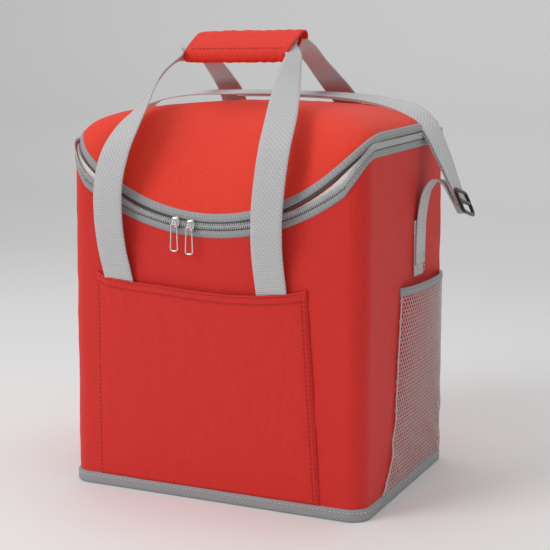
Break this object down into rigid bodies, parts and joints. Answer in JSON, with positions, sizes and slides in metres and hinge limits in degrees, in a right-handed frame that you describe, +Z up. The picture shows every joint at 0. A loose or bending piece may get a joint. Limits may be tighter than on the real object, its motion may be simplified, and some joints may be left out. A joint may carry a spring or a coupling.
{
  "type": "insulated cooler bag",
  "caption": "Upright insulated cooler bag with a zipped lid that dips at the front, joined carry handles, shoulder strap, front slip pocket and side mesh pocket.",
  "frame": {"origin": "middle of the base, on the face it stands on", "axes": "+Z up, -Y out of the front with the slip pocket, +X to the side with the mesh pocket"},
  "size_m": [0.431, 0.2949, 0.5051],
  "materials": {
    "lid_fabric": "bright red woven polyester",
    "body_fabric": "red woven polyester",
    "foam": "closed-cell foam",
    "liner": "silver-grey heat-sealed film",
    "webbing": "grey ribbed polyester webbing",
    "binding": "grey woven binding",
    "zip_coil": "nylon coil",
    "nickel": "nickel-plated",
    "black_plastic": "satin black moulding",
    "mesh": "grey open mesh over red",
    "hook_loop": "black hook-and-loop tape"
  },
  "bodies": {
    "bag_body": {"outer_shell": "body_fabric", "wall_insulation": "foam", "wall_liner": "liner", "base_panel": "body_fabric", "base_insulation": "foam", "base_liner": "liner", "base_binding": "binding", "lower_zip_coil": "zip_coil", "lower_zip_binding": "binding", "rear_hinge_binding": "binding", "front_pocket": "body_fabric", "front_pocket_hem": "body_fabric", "side_mesh_pocket": "mesh", "side_pocket_binding": "binding", "strap_tab_right": "webbing", "strap_tab_left": "webbing", "front_handle_ends": "webbing", "rear_handle_ends": "webbing"},
    "lid": {"lid_cover": "lid_fabric", "lid_insulation": "foam", "lid_liner": "liner", "upper_zip_coil": "zip_coil", "upper_zip_binding": "binding"},
    "front_handle": {"front_handle_webbing": "webbing"},
    "rear_handle": {"rear_handle_webbing": "webbing", "grip_sleeve": "lid_fabric", "loop_patch": "hook_loop"},
    "flap": {"grip_flap": "lid_fabric", "hook_patch": "hook_loop"},
    "shoulder_strap_set": {"shoulder_strap": "webbing", "short_strap": "webbing", "strap_adjuster": "black_plastic"},
    "slider_left": {"zip_slider_left": "nickel"},
    "slider_right": {"zip_slider_right": "nickel"},
    "pull_left": {"zip_pull_left": "nickel"},
    "pull_right": {"zip_pull_right": "nickel"}
  },
  "joints": [
    {"name": "lid_hinge", "type": "hinge", "parent": "bag_body", "child": "lid", "pos_m": [0, 0.132, 0.394], "axis": [-1, 0, 0], "range_deg": [0, 100]},
    {"name": "front_handle_swing", "type": "hinge", "parent": "bag_body", "child": "front_handle", "pos_m": [0, -0.137, 0.2405], "axis": [1, 0, 0], "range_deg": [0, 130]},
    {"name": "rear_handle_swing", "type": "hinge", "parent": "bag_body", "child": "rear_handle", "pos_m": [0, 0.1345, 0.239], "axis": [-1, 0, 0], "range_deg": [0, 140]},
    {"name": "grip_flap_open", "type": "hinge", "parent": "rear_handle", "child": "flap", "pos_m": [0, 0.01597, 0.49598], "axis": [-1, 0, 0], "range_deg": [0, 110], "deforming": ["grip_flap", "hook_patch"]},
    {"name": "shoulder_strap_swing", "type": "hinge", "parent": "bag_body", "child": "shoulder_strap_set", "pos_m": [0, 0.032, 0.262], "axis": [-1, 0, 0], "range_deg": [0, 90], "deforming": ["shoulder_strap", "short_strap"]},
    {"name": "slider_left_travel", "type": "hinge", "parent": "lid", "child": "slider_left", "pos_m": [0, -0.134, 0.516], "axis": [0, 1, 0], "range_deg": [0, 28]},
    {"name": "slider_right_travel", "type": "hinge", "parent": "lid", "child": "slider_right", "pos_m": [0, -0.134, 0.516], "axis": [0, -1, 0], "range_deg": [0, 33]},
    {"name": "pull_left_swing", "type": "hinge", "parent": "slider_left", "child": "pull_left", "pos_m": [-0.038, -0.1394, 0.29931], "axis": [-1, 0, 0], "range_deg": [0, 160]},
    {"name": "pull_right_swing", "type": "hinge", "parent": "slider_right", "child": "pull_right", "pos_m": [-0.02, -0.1394, 0.29691], "axis": [-1, 0, 0], "range_deg": [0, 160]}
  ],
  "couplings": [
    {"joint": "front_handle_swing", "follows": "lid_hinge", "ratio": 1.3},
    {"joint": "rear_handle_swing", "follows": "lid_hinge", "ratio": 1.4},
    {"joint": "grip_flap_open", "follows": "lid_hinge", "ratio": 1.1},
    {"joint": "shoulder_strap_swing", "follows": "lid_hinge", "ratio": 0.9},
    {"joint": "slider_left_travel", "follows": "lid_hinge", "ratio": 0.28},
    {"joint": "slider_right_travel", "follows": "lid_hinge", "ratio": 0.33}
  ]
}
